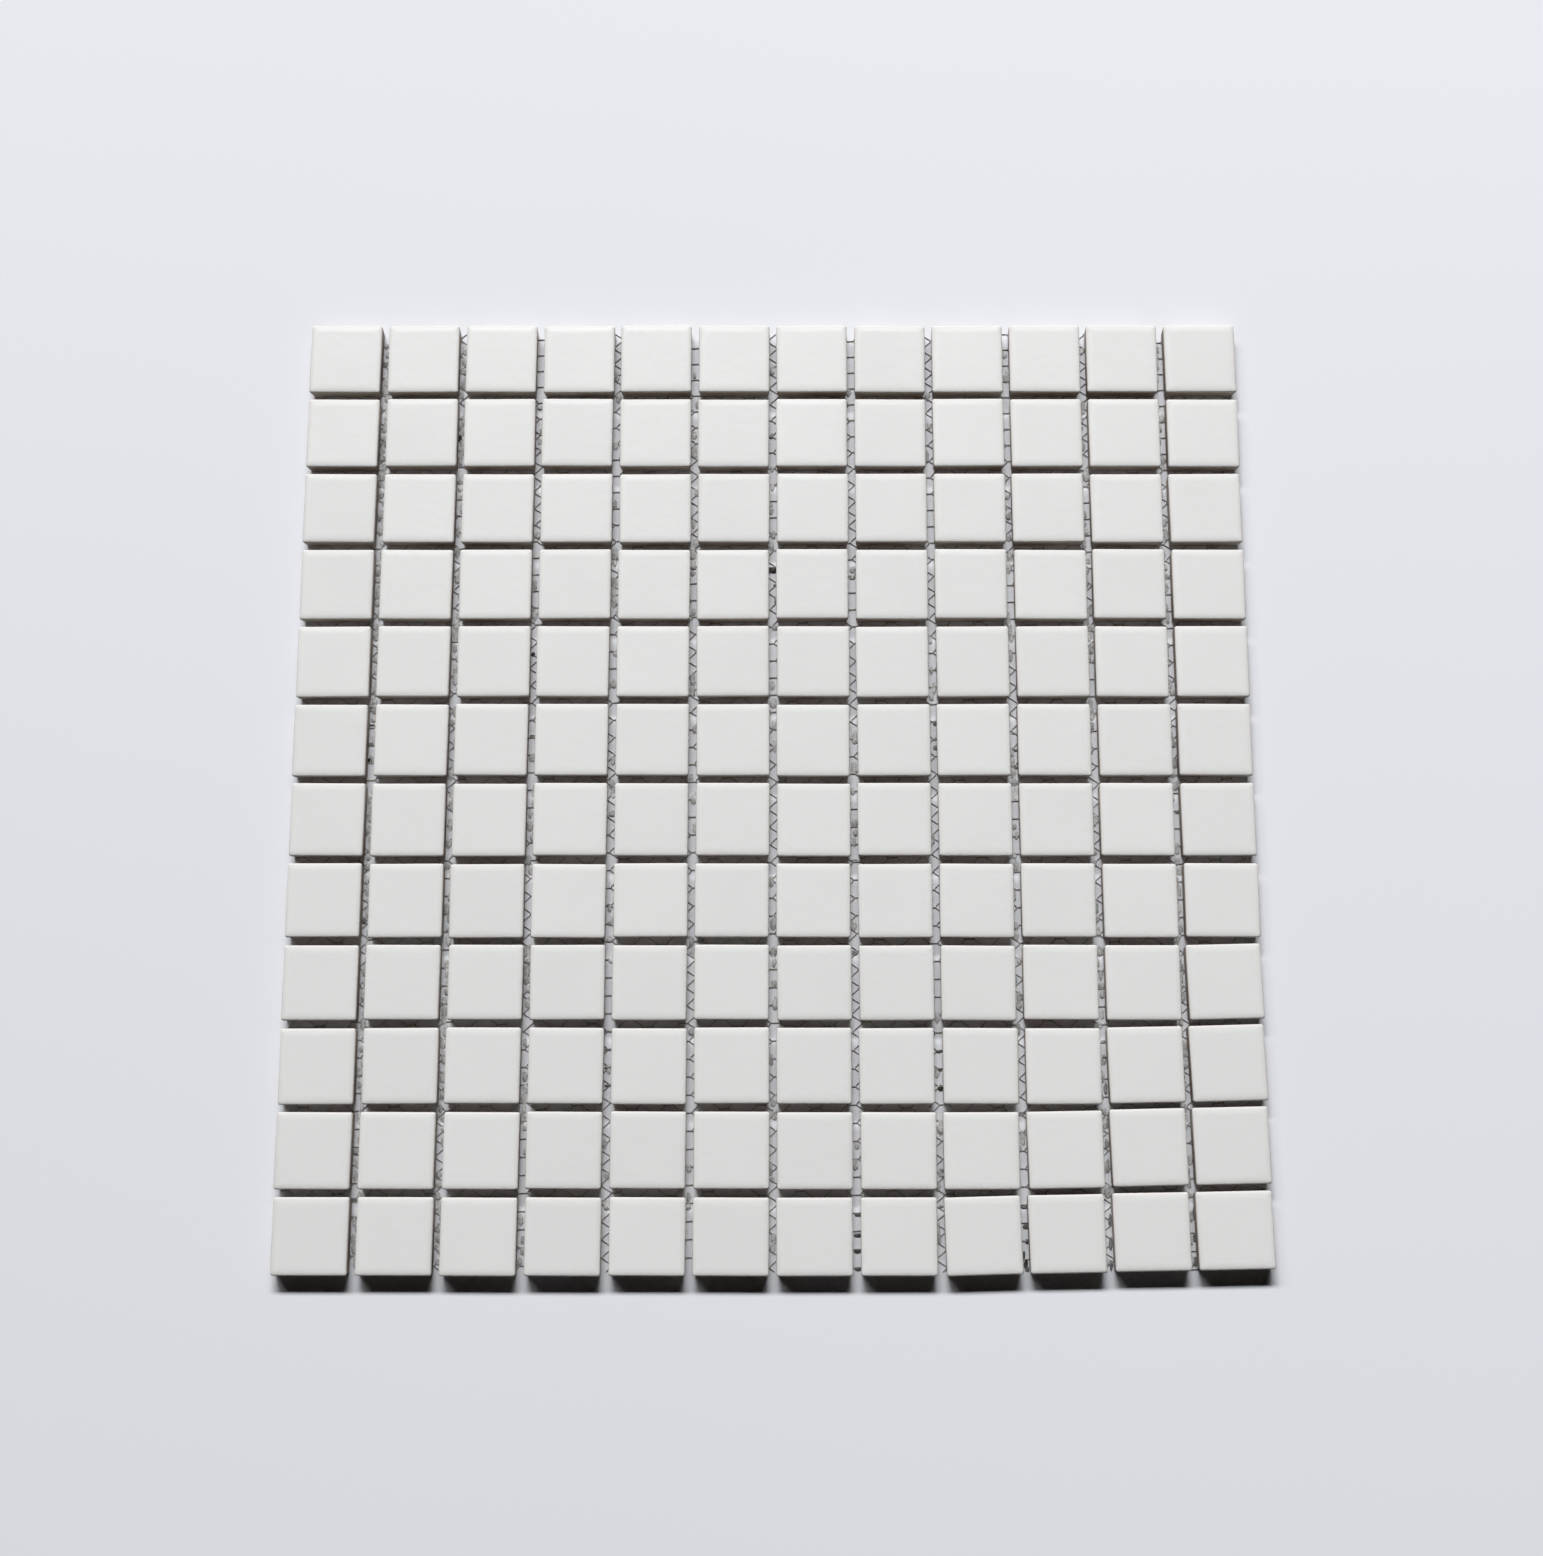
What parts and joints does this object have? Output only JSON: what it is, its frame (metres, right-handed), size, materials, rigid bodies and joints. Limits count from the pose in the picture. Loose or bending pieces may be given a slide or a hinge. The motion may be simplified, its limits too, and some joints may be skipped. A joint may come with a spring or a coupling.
{
  "type": "mosaic tile sheet",
  "caption": "Square sheet of small square white glazed porcelain tiles, held in straight rows with narrow open joints by a thin backing net.",
  "frame": {"origin": "centre of the sheet's underside, on the surface that the net lies on", "axes": "+X along a row of tiles, +Y up the sheet towards the row furthest from the viewer in the picture, +Z out of the glazed faces"},
  "size_m": [0.298, 0.298, 0.0054],
  "materials": {
    "glazed_porcelain": "white semi-matt glaze on the face, unglazed sides and back",
    "net_thread": "thin resin-dipped thread"
  },
  "bodies": {
    "root": {"tile_row_01": "glazed_porcelain", "tile_row_02": "glazed_porcelain", "tile_row_03": "glazed_porcelain", "tile_row_04": "glazed_porcelain", "tile_row_05": "glazed_porcelain", "tile_row_06": "glazed_porcelain", "tile_row_07": "glazed_porcelain", "tile_row_08": "glazed_porcelain", "tile_row_09": "glazed_porcelain", "tile_row_10": "glazed_porcelain", "tile_row_11": "glazed_porcelain", "tile_row_12": "glazed_porcelain", "net_warp_strands": "net_thread", "net_weft_strands": "net_thread"}
  },
  "joints": []
}
